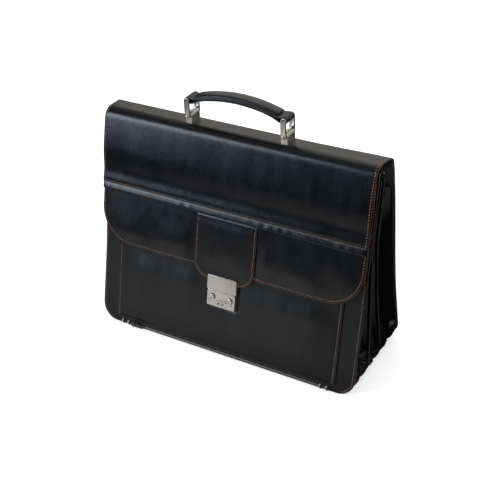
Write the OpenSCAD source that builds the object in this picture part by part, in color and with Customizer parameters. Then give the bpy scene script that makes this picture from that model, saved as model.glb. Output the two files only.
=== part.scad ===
// Leather briefcase: three accordion compartments, front flap with a press lock, top handle on two
// swinging shackles. Width runs along X, the front faces -Y, and the bag stands on z = 0.

/* [Body] */
// Width of the front and back panels
body_w = 400; // [380:1:420]
// Depth between the outer faces of the front and back panels at the bottom
base_d = 155; // [145:1:165]
// Depth between the same two faces at the panels' top
top_d = 28; // [26:1:34]
// Height of the front and back panels
panel_h = 302; // [290:1:320]
// Thickness of the stiffened front and back panels
panel_t = 3; // [2.5:0.1:3.5]
// Radius of the panels' bottom corners
panel_corner_r = 24; // [15:1:35]
// How far the body's centre plane lies behind the origin
mid_y = 2; // [0:0.1:3]

/* [Compartments] */
// Thickness of the two dividers
divider_t = 2; // [1.5:0.1:2.5]
// Height of the two dividers
divider_h = 288; // [280:1:292]
// Height at which the gussets end
gusset_top = 268; // [240:1:270]
// Thickness of the gusset leather
gusset_t = 1.2; // [0.8:0.1:1.3]
// How far a gusset folds inward along the bottom
gusset_fold = 14; // [8:1:18]

/* [Pocket and zip] */
// Half the width between the front seams
seam_x = 173; // [165:1:180]
// Thickness of the padded front pocket panel
pocket_t = 3.2; // [2:0.1:3.4]
// Half the length of the zip tape
zip_half = 167; // [160:1:170]

/* [Flap] */
// Thickness of the flap leather
flap_t = 2; // [1.5:0.1:2.2]
// Gap from the front panel's face to the flap's inner face
flap_gap = 4.2; // [3.9:0.1:5]
// Distance up the front face of the flap's lower edge
flap_low = 127; // [120:1:140]
// Radius of the flap's lower corners
flap_corner_r = 50; // [30:1:60]
// Half the width of the flap
flap_half = 199; // [190:0.5:200]
// Distance up the front face of the joint between the flap's two panels
flap_joint = 207; // [200:1:215]
// Height of the fold band across the joint
band_h = 9; // [7:0.5:12]
// Height of the top strip's upper face
top_z = 309.5; // [308:0.5:312]
// Thickness of the top strip
top_t = 2.8; // [2.4:0.1:3]

/* [Lock] */
// Half the width of the lock
lock_half = 21.5; // [18:0.5:24]
// Distance up the front face of the lock's lower edge
lock_low = 76.3; // [70:0.1:80]
// Distance up the front face of the step between the lock's lower and upper parts
lock_step = 99.3; // [96:0.1:102]
// Distance up the front face of the lock's upper edge
lock_high = 118.5; // [116:0.1:122]
// Radius of the lock's two buttons
button_r = 4.2; // [3.5:0.1:4.5]
// Half the width of the lock tab
tab_half = 46; // [40:1:50]
// Distance up the front face of the tab's lower edge
tab_low = 112; // [108:1:116]

/* [Handle] */
// Half the distance between the two shackles
shackle_x = 70; // [65:1:75]
// Depth over both arms of a shackle
shackle_d = 26; // [24:0.5:27]
// Thickness of a shackle arm
arm_t = 2.4; // [2:0.1:2.8]
// Half the width of a shackle arm
arm_r = 3.8; // [3:0.1:4.2]
// Height of the shackles' pivot pins
pin_z = 320.5; // [319:0.5:322]
// Height of the shackles' top bars
bar_z = 342.3; // [340:0.1:346]
// Radius of a pivot pin
pin_r = 1.55; // [1.3:0.05:1.8]
// Radius of the arch that the grip follows
arch_r = 194; // [180:1:220]
// Half the length of the padded grip
grip_half = 60; // [50:1:62]
// Width of the padded grip
grip_w = 20.4; // [18:0.2:20.6]

/* [Hidden] */
$fn = 64;

half_w = body_w / 2;
lean = atan((base_d - top_d) / 2 / panel_h);
front_y = mid_y - base_d / 2;
back_y = mid_y + base_d / 2;
// Rounded up, so that the arcs at the panels' corners end exactly on their lower edge
panel_low = ceil(100 * panel_t * tan(lean)) / 100;
panel_top = panel_h / cos(lean);
gap = 0.15;

black = [0.07, 0.07, 0.08];
charcoal = [0.16, 0.16, 0.17];
nickel = [0.72, 0.70, 0.66];
steel = [0.55, 0.55, 0.57];
board = [0.35, 0.28, 0.2];

// Places children in the front face's own frame: x across, y up the slope, z outward
module on_front() {
    translate([0, front_y, 0]) rotate([90 - lean, 0, 0]) children();
}

module on_back() {
    translate([0, 2 * mid_y, 0]) mirror([0, 1, 0]) on_front() children();
}

// A slab with its outline in the face's frame, from one height to another along its normal
module slab(z1, z2) {
    translate([0, 0, z1]) linear_extrude(z2 - z1) children();
}

// What a round corner of radius r takes off, seen from the arc's centre towards the signs sx, sy
module corner_waste(sx, sy, r) {
    difference() {
        translate([sx > 0 ? 0 : -r - 1, sy > 0 ? 0 : -r - 1]) square(r + 1);
        circle(r, $fn = 96);
    }
}

// A rectangle between two heights whose two lower corners are round
module tongue(half, low, high, r) {
    difference() {
        translate([-half, low]) square([2 * half, high - low]);
        for (s = [-1, 1]) translate([s * (half - r), low + r]) corner_waste(s, -1, r);
    }
}

// A rectangle with four round corners, between two heights
module plate_outline(half, low, high, r) {
    difference() {
        tongue(half, low, high, r);
        for (s = [-1, 1]) translate([s * (half - r), high - r]) corner_waste(s, 1, r);
    }
}

// ---- front and back panels ----

module back_panel() {
    color(black) on_back() difference() {
        slab(-panel_t, 0) tongue(half_w, panel_low, panel_top, panel_corner_r);
        for (x = [-ring_x, ring_x]) translate([x, tab_rivet_up, -panel_t - 1])
            cylinder(h = panel_t + 2, r = tab_rivet_r + 0.05);
    }
}

rivet_r = 1.5;
rivet_x = 16.5;
rivet_heights = [81, 114];

module lock_rivet_places() {
    for (x = [-rivet_x, rivet_x], y = rivet_heights) translate([x, y, 0]) children();
}

module front_panel() {
    color(black) on_front() difference() {
        slab(-panel_t, 0) tongue(half_w, panel_low, panel_top, panel_corner_r);
        lock_rivet_places() translate([0, 0, -panel_t - 1]) cylinder(h = panel_t + 2, r = rivet_r + 0.05);
    }
}

pocket_low = 9.4;
pocket_high = 272;
pocket_back = 0.3;
pocket_face = pocket_back + pocket_t;

// The padded middle of the front face, between the two seams and above the zip
module front_pocket_panel() {
    color(charcoal) on_front() difference() {
        slab(pocket_back, pocket_face) plate_outline(seam_x, pocket_low, pocket_high, 5);
        slab(pocket_back - 1, pocket_face + 1)
            plate_outline(lock_half + 0.4, lock_low - 0.4, lock_high + 0.4, 2.4);
    }
}

binding_t = 1;
binding_h = 11;

// Leather folded over the front panel's top edge
module front_top_binding() {
    color(charcoal) on_front() difference() {
        slab(-panel_t - gap - binding_t, gap + binding_t)
            translate([-half_w + 6, panel_top - binding_h]) square([body_w - 12, binding_h + gap + binding_t]);
        slab(-panel_t - gap, gap)
            translate([-half_w, panel_top - binding_h - 1]) square([body_w, binding_h + 1 + gap]);
    }
}

// ---- dividers and gussets ----

// Where the middle of each divider lies in depth, by height
front_divider_line = [[0, -24], [200, -24], [divider_h, -5]];
rear_divider_line = [[0, 17], [110, -2], [200, -9], [divider_h, 4]];

module divider(line) {
    sheet = concat([for (p = line) [p[1] - divider_t / 2, p[0]]],
                   [for (i = [len(line) - 1:-1:0]) [line[i][1] + divider_t / 2, line[i][0]]]);
    intersection() {
        translate([-half_w, 0, 0]) rotate([90, 0, 90]) linear_extrude(body_w) polygon(sheet);
        translate([0, 100, 0]) rotate([90, 0, 0]) linear_extrude(200)
            tongue(half_w, 0, divider_h, panel_corner_r);
    }
}

module divider_front() { color(black) divider(front_divider_line); }
module divider_rear() { color(black) divider(rear_divider_line); }

// Depth of each wall's face at a height: the panels' inner faces and both faces of a divider
function front_inner(z) = front_y + z * tan(lean) + panel_t / cos(lean);
function back_inner(z) = back_y - z * tan(lean) - panel_t / cos(lean);
function divider_face(line, z, side) = lookup(z, line) + side * divider_t / 2;

path_half = half_w - 1;
path_low = 1.2;
path_r = panel_corner_r - 1;
corner_steps = 4;

// A gusset's run as x, z and the inward direction: down the right side and round the corner
side_run = concat(
    [for (z = [gusset_top, 200, 110]) [path_half, z, -1, 0]],
    [for (i = [0:corner_steps]) let (a = -90 * i / corner_steps)
        [path_half - path_r * (1 - cos(a)), path_low + path_r * (1 + sin(a)), -cos(a), -sin(a)]]);
base_half = path_half - path_r - 0.1;
base_run = [for (x = [base_half, -base_half]) [x, path_low, 0, 1]];

// One cross-section: a V whose valley points into the bag, between depths y1 and y2
function fold_section(p, y1, y2, strip) = let (
    half = (y2 - y1) / 2,
    mid = (y1 + y2) / 2,
    deep = sqrt(strip * strip - half * half),
    tip = gusset_t * 0.7)
    [for (q = [[0, y1], [deep + gusset_t, mid - tip], [deep + gusset_t, mid + tip], [0, y2],
               [0, y2 - gusset_t], [deep, mid], [0, y1 + gusset_t]])
        [p[0] + p[2] * q[0], q[1], p[1] + p[3] * q[0]]];

// The two triangles between cross-sections i and i + 1 along the edge from point j to point k.
// The inner faces are split the other way, so that a warped wing keeps its thickness.
function wing_faces(i, j, k, n) = let (a = i * n + j, b = i * n + k, c = a + n, d = b + n)
    j == 4 || j == 5 ? [[a, b, c], [b, d, c]] : [[a, b, d], [a, d, c]];

// Sweeps the cross-sections into one closed folded strip
module folded_strip(sections) {
    n = len(sections[0]);
    last = len(sections) - 1;
    faces = concat(
        [for (i = [0:last - 1], j = [0:n - 1]) each wing_faces(i, j, (j + 1) % n, n)],
        [[0, 6, 5], [0, 5, 1], [1, 5, 2], [2, 5, 4], [2, 4, 3]],
        [for (f = [[0, 5, 6], [0, 1, 5], [1, 2, 5], [2, 4, 5], [2, 3, 4]]) [for (v = f) v + last * n]]);
    polyhedron(points = [for (s = sections) each s], faces = faces);
}

seam_gap = 0.2;

// Depths of the two walls that the front, middle and rear gusset join, by height
front_bay = function (z) [front_inner(z), divider_face(front_divider_line, z, -1)];
middle_bay = function (z)
    [divider_face(front_divider_line, z, 1), divider_face(rear_divider_line, z, -1)];
rear_bay = function (z) [divider_face(rear_divider_line, z, 1), back_inner(z)];

// One stretch of a gusset; bay gives the depths of its two walls
module gusset(run, bay) {
    floor_walls = bay(0);
    strip = norm([(floor_walls[1] - floor_walls[0]) / 2, gusset_fold]);
    color(black) folded_strip([for (p = run) let (w = bay(p[1]))
        fold_section(p, w[0] + seam_gap, w[1] - seam_gap, strip)]);
}

module gusset_front_left() { mirror([1, 0, 0]) gusset(side_run, front_bay); }
module gusset_front_base() { gusset(base_run, front_bay); }
module gusset_front_right() { gusset(side_run, front_bay); }
module gusset_middle_left() { mirror([1, 0, 0]) gusset(side_run, middle_bay); }
module gusset_middle_base() { gusset(base_run, middle_bay); }
module gusset_middle_right() { gusset(side_run, middle_bay); }
module gusset_rear_left() { mirror([1, 0, 0]) gusset(side_run, rear_bay); }
module gusset_rear_base() { gusset(base_run, rear_bay); }
module gusset_rear_right() { gusset(side_run, rear_bay); }

// ---- zip along the bottom front edge ----

zip_mid = 5;
chain_half = 150.9;
chain_w = 3.6;
slider_l = 12;
slider_x = -143;
stop_inner = 153.5;
stop_outer = 163;

module zip_tape() {
    color(charcoal) on_front() slab(0.2, 0.8) translate([-zip_half, 1.3]) square([2 * zip_half, 7.7]);
}

module zip_chain() {
    color(nickel) on_front() slab(0.9, 2)
        translate([-chain_half, zip_mid - chain_w / 2]) square([2 * chain_half, chain_w]);
}

// A thin metal crescent: the half of a disc that is left beside an offset disc
module crescent(r, t) {
    difference() {
        circle(r);
        translate([t, 0]) circle(r);
        translate([0, -r - 1]) square([r + 1, 2 * r + 2]);
    }
}

module zip_end_stops() {
    color(nickel) on_front() slab(0.9, 3.2)
        for (x = [-stop_outer, -stop_inner, stop_inner, stop_outer]) translate([x + 1.5, zip_mid])
            crescent(3.8, 2.2);
}

// A slider that straddles the chain, with a bridge for its pull
module zip_slider() {
    color(nickel) on_front() translate([slider_x, zip_mid, 0]) {
        difference() {
            slab(1, 3.4) translate([-slider_l / 2, -3.7]) square([slider_l, 7.4]);
            slab(0, 2.3) translate([-slider_l / 2 - 1, -chain_w / 2 - 0.3])
                square([slider_l + 2, chain_w + 0.6]);
        }
        difference() {
            slab(3.4, 6.2) translate([-1.4, -2.6]) square([2.8, 5.2]);
            slab(3, 7) translate([-2, -1.5]) square([4, 3]);
        }
        translate([0, 3, 4.7]) rotate([90, 0, 0]) cylinder(h = 6, r = 0.7);
    }
}

pull_l = 15;

// The pull hangs on the slider's cross pin and lies along the zip
module zip_pull() {
    color(nickel) on_front() translate([slider_x, zip_mid, 4.7]) difference() {
        union() {
            translate([0, 1.3, 0]) rotate([90, 0, 0]) cylinder(h = 2.6, r = 1.2);
            slab(-0.6, 0.6) translate([0, -1.3]) square([5, 2.6]);
            slab(-0.6, 0.6) translate([4, -2.4]) square([pull_l - 4, 4.8]);
        }
        translate([0, 2, 0]) rotate([90, 0, 0]) cylinder(h = 4, r = 0.78);
        slab(-1, 1) translate([pull_l - 3, 0]) circle(1.1);
    }
}

// ---- press lock ----

housing_back = 0.5;
housing_deck = 6.1;
housing_face = 10;
cavity_low = 1.3;
cavity_high = 4.9;
button_x = 13.6;
button_y = 89.5;
staple_y = 108;
staple_half = 5;
staple_up = 3.6;
keyhole_x = 3.4;
keyhole_y = 81.4;

module lock_housing() {
    color(nickel) on_front() difference() {
        union() {
            slab(housing_back, housing_face) plate_outline(lock_half, lock_low, lock_step, 1.5);
            slab(housing_back, housing_deck) plate_outline(lock_half, lock_low, lock_high, 1.5);
        }
        slab(cavity_low, cavity_high) translate([-19.5, 83]) square([39, 33]);
        for (x = [-button_x, button_x]) translate([x, button_y, cavity_low])
            cylinder(h = 12, r = button_r + 0.08);
        slab(cavity_low, 12) translate([-staple_half - 0.7, staple_y - staple_up - 0.7])
            square([2 * staple_half + 1.4, 10.3]);
        for (x = [-keyhole_x, keyhole_x]) translate([x, keyhole_y, housing_face - 3]) cylinder(h = 4, r = 1.3);
    }
}

module lock_backing_plate() {
    color(steel) on_front() difference() {
        slab(-panel_t - 1.3, -panel_t - 0.1) plate_outline(20, 78, 117, 2);
        lock_rivet_places() translate([0, 0, -6]) cylinder(h = 4, r = rivet_r + 0.05);
    }
}

module lock_rivets() {
    color(steel) on_front() lock_rivet_places() {
        translate([0, 0, -panel_t - 1.4]) cylinder(h = panel_t + 1.4 + housing_back - 0.05, r = rivet_r);
        translate([0, 0, -panel_t - 2.4]) cylinder(h = 1, r = 2.6);
    }
}

// A dished spring washer under each button
module lock_springs() {
    color(steel) on_front() for (x = [-button_x, button_x]) translate([x, button_y, cavity_low + 0.05])
        rotate_extrude() polygon([[2, 0.5], [4.6, 0], [4.6, 0.5], [2, 1]]);
}

// A sliding catch beside the staple, with a leg down to its button
module lock_catch() {
    slab(cavity_low + 0.3, 3.6) {
        translate([staple_half + 1.2, 101]) square([10.5, 13.5]);
        translate([12.5, 96]) square([4.2, 6]);
    }
}

module lock_catch_left() { color(steel) on_front() mirror([1, 0, 0]) lock_catch(); }
module lock_catch_right() { color(steel) on_front() lock_catch(); }

// A button with a flange that keeps it in the housing
module lock_button() {
    translate([button_x, button_y, 3.9]) {
        cylinder(h = 0.85, r = 5.2);
        cylinder(h = housing_face + 0.9 - 3.9, r = button_r);
        translate([0, 0, housing_face + 0.9 - 3.9]) cylinder(h = 0.7, r1 = button_r, r2 = button_r - 0.8);
    }
}

module lock_button_left() { color(nickel) on_front() mirror([1, 0, 0]) lock_button(); }
module lock_button_right() { color(nickel) on_front() lock_button(); }

// ---- shoulder-strap rings ----

ring_x = 187;
ring_wire = 1.2;
ring_half = 7;
ring_bow_drop = 4;
loop_r = 2.6;
tab_up = 296.6;
tab_rivet_up = tab_up + 6.4;
tab_rivet_r = 1;
tab_depth = -panel_t - 0.2 - loop_r;
ring_y = back_y - tab_up * sin(lean) + tab_depth * cos(lean);
ring_z = tab_up * cos(lean) + tab_depth * sin(lean);

// A leather tab on the back panel's inner face, looped round the ring's straight side
module strap_tab() {
    on_back() difference() {
        union() {
            translate([ring_x, tab_up, tab_depth]) rotate([0, 90, 0]) cylinder(h = 10, r = loop_r, center = true);
            slab(tab_depth, tab_depth + loop_r) translate([ring_x - 5, tab_up]) square([10, 10]);
        }
        translate([ring_x, tab_up, tab_depth]) rotate([0, 90, 0])
            cylinder(h = 12, r = ring_wire + 0.1, center = true);
        slab(tab_depth - 1, tab_depth + 4) translate([ring_x, tab_rivet_up]) circle(tab_rivet_r + 0.05);
    }
}

module strap_tab_left() { color(black) mirror([1, 0, 0]) strap_tab(); }
module strap_tab_right() { color(black) strap_tab(); }

module strap_tab_rivets() {
    color(nickel) on_back() for (x = [-ring_x, ring_x]) translate([x, tab_rivet_up, 0]) {
        translate([0, 0, tab_depth - 0.5]) cylinder(h = 0.5 - tab_depth + 0.2, r = tab_rivet_r);
        translate([0, 0, tab_depth - 0.9]) cylinder(h = 0.85, r = 2.1);
    }
}

// A ring with a straight side along X and a round bow below it
module d_ring() {
    translate([ring_x, ring_y, ring_z]) {
        rotate([0, 90, 0]) cylinder(h = 2 * ring_half, r = ring_wire, center = true);
        for (x = [-ring_half, ring_half]) translate([x, 0, 0]) {
            sphere(ring_wire);
            translate([0, 0, -ring_bow_drop]) cylinder(h = ring_bow_drop, r = ring_wire);
        }
        translate([0, 0, -ring_bow_drop]) rotate([-90, 0, 0]) rotate_extrude(angle = 180)
            translate([ring_half, 0]) circle(ring_wire);
    }
}

module d_ring_left() { color(nickel) mirror([1, 0, 0]) d_ring(); }
module d_ring_right() { color(nickel) d_ring(); }

// ---- flap: rear overlap, top strip and front ----

flap_mid = flap_gap + flap_t / 2;
flap_face = flap_gap + flap_t;
overlap_back = 0.3;
overlap_mid = overlap_back + flap_t / 2;
bend_z = top_z - top_t / 2;
// Depth of the front and rear bend lines, about which the flap folds
front_bend_y = front_y + bend_z * tan(lean) - flap_mid / cos(lean);
rear_bend_y = back_y - bend_z * tan(lean) + overlap_mid / cos(lean);
bend_gap = top_t / 2 + 0.35;
flap_top_edge = floor(10 * ((bend_z - flap_mid * sin(lean)) / cos(lean) - bend_gap)) / 10;
overlap_top_edge = floor(10 * ((bend_z - overlap_mid * sin(lean)) / cos(lean) - bend_gap)) / 10;
overlap_h = 27;

module rear_flap_overlap() {
    color(black) on_back() slab(overlap_back, overlap_back + flap_t)
        tongue(flap_half, overlap_top_edge - overlap_h, overlap_top_edge, 6);
}

base_y = (front_bend_y + rear_bend_y) / 2;
screw_y = 4.6;
screw_r = 1.5;
screw_hole_r = screw_r + 0.05;

module base_screw_places() {
    for (x = [-shackle_x, shackle_x], d = [-screw_y, screw_y]) translate([x, base_y + d, 0]) children();
}

module flap_top_strip() {
    color(black) difference() {
        union() {
            translate([-flap_half, front_bend_y, top_z - top_t])
                cube([2 * flap_half, rear_bend_y - front_bend_y, top_t]);
            for (y = [front_bend_y, rear_bend_y]) translate([-flap_half, y, bend_z])
                rotate([0, 90, 0]) cylinder(h = 2 * flap_half, r = top_t / 2);
        }
        base_screw_places() translate([0, 0, top_z - 5]) cylinder(h = 8, r = screw_hole_r);
    }
}

stiffener_t = 2.4;
stiffener_z = top_z - top_t - gap - stiffener_t;

module top_stiffener() {
    color(board) difference() {
        translate([-186, base_y - 11, stiffener_z]) cube([372, 22, stiffener_t]);
        base_screw_places() translate([0, 0, stiffener_z - 2]) cylinder(h = 8, r = screw_hole_r);
    }
}

knuckle_r = 5;
block_half = 5;
block_d = shackle_d - 2 * arm_t - 1;
block_z = top_z + 0.1;
screw_top = pin_z - pin_r - 2.5;

// A hinge block with a round top, held by two screws from inside the flap
module handle_base() {
    color(nickel) difference() {
        union() {
            translate([shackle_x - block_half, base_y - block_d / 2, block_z])
                cube([2 * block_half, block_d, pin_z - block_z]);
            translate([shackle_x, base_y + block_d / 2, pin_z]) rotate([90, 0, 0])
                cylinder(h = block_d, r = knuckle_r);
        }
        translate([shackle_x, base_y + block_d, pin_z]) rotate([90, 0, 0])
            cylinder(h = 2 * block_d, r = pin_r + 0.05);
        for (d = [-screw_y, screw_y]) translate([shackle_x, base_y + d, block_z - 1])
            cylinder(h = screw_top + 0.3 - block_z + 1, r = screw_hole_r);
    }
}

module handle_base_left() { mirror([1, 0, 0]) handle_base(); }
module handle_base_right() { handle_base(); }

backing_z = stiffener_z - 1.3;

module handle_backing_plates() {
    color(steel) difference() {
        for (x = [-shackle_x, shackle_x]) translate([x - 9, base_y - 7.2, backing_z]) cube([18, 14.4, 1.2]);
        base_screw_places() translate([0, 0, backing_z - 1]) cylinder(h = 4, r = screw_hole_r);
    }
}

module handle_base_screws() {
    color(nickel) base_screw_places() {
        translate([0, 0, backing_z - 0.5]) cylinder(h = screw_top + 0.5 - backing_z, r = screw_r);
        translate([0, 0, backing_z - 1.1]) cylinder(h = 1, r = 2.5);
    }
}

// A pivot pin through each block and both of its arms, with a head at each end
module shackle_pins() {
    color(nickel) for (s = [-1, 1]) translate([s * shackle_x, base_y, pin_z]) rotate([90, 0, 0]) {
        cylinder(h = shackle_d + 1, r = pin_r, center = true);
        for (e = [-1, 1]) translate([0, 0, e * (shackle_d / 2 + 0.8)])
            cylinder(h = 1.2, r = 2.5, center = true);
    }
}

bar_r = 2.2;

// Two flat arms with round ends and the bar that joins them at the top
module shackle() {
    color(nickel) {
        for (s = [-1, 1]) translate([shackle_x, base_y + s * (shackle_d - arm_t) / 2, pin_z])
            rotate([90, 0, 0]) difference() {
                slab(-arm_t / 2, arm_t / 2) {
                    circle(arm_r);
                    translate([0, bar_z - pin_z]) circle(arm_r);
                    translate([-arm_r, 0]) square([2 * arm_r, bar_z - pin_z]);
                }
                cylinder(h = 10, r = pin_r + 0.05, center = true);
            }
        translate([shackle_x, base_y + shackle_d / 2 - arm_t / 2, bar_z]) rotate([90, 0, 0])
            cylinder(h = shackle_d - arm_t, r = bar_r);
    }
}

module shackle_left() { mirror([1, 0, 0]) shackle(); }
module shackle_right() { shackle(); }

strap_w = shackle_d - 2 * arm_t - 0.7;
strap_t = 2.4;
loop_in = bar_r + 0.3;
loop_out = loop_in + strap_t;
// Height of the arch's centre, so that the strap's middle line meets the top bars
arch_z = bar_z + 0.6 - sqrt(arch_r * arch_r - pow(shackle_x - 4, 2));

module arch_band(r1, r2, half) {
    intersection() {
        difference() {
            translate([0, arch_z]) circle(r2, $fn = 240);
            translate([0, arch_z]) circle(r1, $fn = 240);
        }
        translate([-half, bar_z - 10]) square([2 * half, 40]);
    }
}

// The inner strap follows the arch and loops round both top bars
module handle_strap() {
    color(charcoal) translate([0, base_y + strap_w / 2, 0]) rotate([90, 0, 0]) linear_extrude(strap_w)
        difference() {
            union() {
                arch_band(arch_r - strap_t / 2, arch_r + strap_t / 2, shackle_x - 3);
                for (x = [-shackle_x, shackle_x]) translate([x, bar_z]) circle(loop_out);
            }
            for (x = [-shackle_x, shackle_x]) translate([x, bar_z]) circle(loop_in);
        }
}

grip_up = 4.8;
grip_down = 5.4;

// The padded grip: a crowned section swept along the arch, with a channel for the strap
module handle_grip() {
    a = asin(grip_half / arch_r);
    color(black) difference() {
        translate([0, base_y, arch_z]) rotate([90, 0, 0]) rotate([0, 0, 90 - a])
            rotate_extrude(angle = 2 * a, $fn = 96) difference() {
                translate([arch_r, 0]) union() {
                    translate([-grip_down, -grip_w / 2 + 3]) square([grip_down + grip_up - 2, grip_w - 6]);
                    translate([-grip_down + 3, -grip_w / 2]) square([grip_down + grip_up - 7.5, grip_w]);
                    for (y = [-grip_w / 2 + 3, grip_w / 2 - 3]) {
                        translate([-grip_down + 3, y]) circle(3);
                        translate([grip_up - 4.5, y]) circle(3);
                    }
                    intersection() {
                        translate([grip_up - 26, 0]) circle(26);
                        translate([0, -grip_w / 2 + 3]) square([grip_up, grip_w - 6]);
                    }
                }
                translate([arch_r - strap_t / 2 - 0.2, -strap_w / 2 - 0.2])
                    square([strap_t + 0.4, strap_w + 0.4]);
            }
    }
}

module flap_outline() {
    tongue(flap_half, flap_low, flap_top_edge, flap_corner_r);
}

module flap_upper_panel() {
    color(black) on_front() slab(flap_gap, flap_face) intersection() {
        flap_outline();
        translate([-flap_half, flap_joint + gap / 2]) square([2 * flap_half, 200]);
    }
}

module flap_lower_panel() {
    color(black) on_front() slab(flap_gap, flap_face) intersection() {
        flap_outline();
        translate([-flap_half, 0]) square([2 * flap_half, flap_joint - gap / 2]);
    }
}

band_low = flap_joint - 4;
band_t = 2.4;

// The folded leather band that covers the joint between the flap's panels
module fold_band() {
    color(charcoal) on_front() translate([-flap_half, band_low, flap_face + gap]) {
        cube([2 * flap_half, band_h, band_t / 2]);
        translate([0, band_t / 2, band_t / 2]) cube([2 * flap_half, band_h - band_t, band_t / 2]);
        for (y = [band_t / 2, band_h - band_t / 2]) translate([0, y, band_t / 2]) rotate([0, 90, 0])
            cylinder(h = 2 * flap_half, r = band_t / 2);
    }
}

tab_t = 2.2;
tab_back = flap_face + gap;
tab_face = tab_back + tab_t;
hasp_rivet_x = 15;
hasp_rivet_y = 115.6;

module lock_tab() {
    color(charcoal) on_front() difference() {
        slab(tab_back, tab_face) tongue(tab_half, tab_low, band_low - 0.2, 24);
        slab(tab_back - 1, tab_face + 1) translate([-staple_half - 0.1, staple_y - staple_up - 0.5])
            square([2 * staple_half + 0.2, 2 * staple_up + 1]);
        for (x = [-hasp_rivet_x, hasp_rivet_x]) translate([x, hasp_rivet_y, tab_back - 1])
            cylinder(h = tab_t + 2, r = 1.25);
    }
}

hasp_back = tab_face + 0.1;

module hasp_plate() {
    color(nickel) on_front() slab(hasp_back, hasp_back + 1.5)
        plate_outline(lock_half + 0.9, lock_step + 0.5, lock_high + 2, 1.5);
}

// The stud that goes through the tab into the lock
module hasp_staple() {
    color(steel) on_front() slab(2.2, hasp_back - 0.05)
        translate([-staple_half, staple_y - staple_up]) square([2 * staple_half, 2 * staple_up]);
}

module hasp_rivets() {
    color(steel) on_front() for (x = [-hasp_rivet_x, hasp_rivet_x])
        translate([x, hasp_rivet_y, tab_back + 0.02]) cylinder(h = tab_t, r = 1.2);
}

back_panel();
front_panel();
front_pocket_panel();
front_top_binding();
divider_front();
divider_rear();
gusset_front_left();
gusset_front_base();
gusset_front_right();
gusset_middle_left();
gusset_middle_base();
gusset_middle_right();
gusset_rear_left();
gusset_rear_base();
gusset_rear_right();
rear_flap_overlap();
zip_tape();
zip_chain();
zip_end_stops();
zip_slider();
zip_pull();
lock_housing();
lock_backing_plate();
lock_rivets();
lock_springs();
lock_catch_left();
lock_catch_right();
lock_button_left();
lock_button_right();
strap_tab_left();
strap_tab_right();
strap_tab_rivets();
d_ring_left();
d_ring_right();
flap_top_strip();
top_stiffener();
handle_base_left();
handle_base_right();
handle_base_screws();
handle_backing_plates();
shackle_pins();
shackle_left();
shackle_right();
handle_strap();
handle_grip();
flap_upper_panel();
flap_lower_panel();
fold_band();
lock_tab();
hasp_plate();
hasp_staple();
hasp_rivets();
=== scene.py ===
"""Looks of the leather briefcase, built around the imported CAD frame. Lengths are in millimetres until placed."""

from math import asin, atan, cos, exp, hypot, pi, radians, sin, sqrt, tan

import bmesh
import bpy
from mathutils import Matrix, Vector, noise


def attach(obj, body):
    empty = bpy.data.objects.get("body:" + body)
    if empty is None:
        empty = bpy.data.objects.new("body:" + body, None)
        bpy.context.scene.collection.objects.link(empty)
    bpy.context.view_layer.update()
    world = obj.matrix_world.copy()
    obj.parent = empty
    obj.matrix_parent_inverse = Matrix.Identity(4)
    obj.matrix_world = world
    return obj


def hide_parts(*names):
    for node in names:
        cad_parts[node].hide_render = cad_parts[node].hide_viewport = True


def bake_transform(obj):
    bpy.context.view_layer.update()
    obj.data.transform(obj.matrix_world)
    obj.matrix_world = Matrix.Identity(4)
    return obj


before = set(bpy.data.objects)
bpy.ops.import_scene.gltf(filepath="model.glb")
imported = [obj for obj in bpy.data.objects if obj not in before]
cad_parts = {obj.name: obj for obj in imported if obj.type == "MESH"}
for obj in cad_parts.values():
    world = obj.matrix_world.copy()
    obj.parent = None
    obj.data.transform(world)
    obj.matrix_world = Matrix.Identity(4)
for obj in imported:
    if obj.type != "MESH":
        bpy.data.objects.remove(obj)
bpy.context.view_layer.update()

# The CAD's own measures. A point on a face is x across, v up the slope and w outward.
MM = 0.001
MID_Y = 2.0
BASE_DEPTH, TOP_DEPTH, PANEL_H, PANEL_T = 155.0, 28.0, 302.0, 3.0
FRONT_Y = MID_Y - BASE_DEPTH / 2
LEAN = atan((BASE_DEPTH - TOP_DEPTH) / 2 / PANEL_H)
SN, CS, TN = sin(LEAN), cos(LEAN), tan(LEAN)
HALF_W = 200.0
PANEL_LOW = 0.64
PANEL_TOP = PANEL_H / CS
PANEL_R = 24
TOP_Z = 309.5
SEAM_X = 173.0
FLAP_HALF = 199.0
FLAP_LOW = 127.0
FLAP_R = 50
FLAP_FACE = 6.2
FLAP_T = 2.0
JOINT_V = 207.0
SEW_INSET = 3.2
BASE_Y = 0.007
SHACKLE_X = 70.0
PIN_Z = 320.5
BAR_Z = 342.3
ARCH_R = 194.0
ARCH_Z = BAR_Z + 0.6 - sqrt(ARCH_R ** 2 - (SHACKLE_X - 4) ** 2)

scene = bpy.context.scene


# ---- places: functions from a piece's own coordinates in millimetres to the row frame in metres ----

def mm(x, y, z):
    return Vector((x, y, z)) * MM


def front(x, v, w):
    return mm(x, FRONT_Y + v * SN - w * CS, v * CS + w * SN)


def back(x, v, w):
    return mm(x, 2 * MID_Y - FRONT_Y - v * SN + w * CS, v * CS + w * SN)


def pulled(p):
    """The rear right corner of the top hangs out of square."""
    k = fade(0.09, 0.199, p.x) * fade(0.08, 0.30, p.z) * fade(0, 0.02, p.y)
    return p + mm(5 * k, 4 * k, 0)


def slack_back(x, v, w):
    return pulled(back(x, v, w))


def slack_front(x, v, w):
    """The front panel's sides hang back a little under the flap."""
    k = fade(130, 199, abs(x)) * fade(20, 120, v) * (1 - fade(230, 300, v))
    return front(x, v, w - 2.6 * k)


def wave(x, y, seed):
    return noise.noise(Vector((x, y, seed)))


def fade(a, b, t):
    """Rises smoothly from 0 at a to 1 at b."""
    t = max(0.0, min(1.0, (t - a) / (b - a)))
    return t * t * (3 - 2 * t)


# ---- mesh building ----

def linked(name, data):
    ob = bpy.data.objects.new(name, data)
    scene.collection.objects.link(ob)
    return ob


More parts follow.
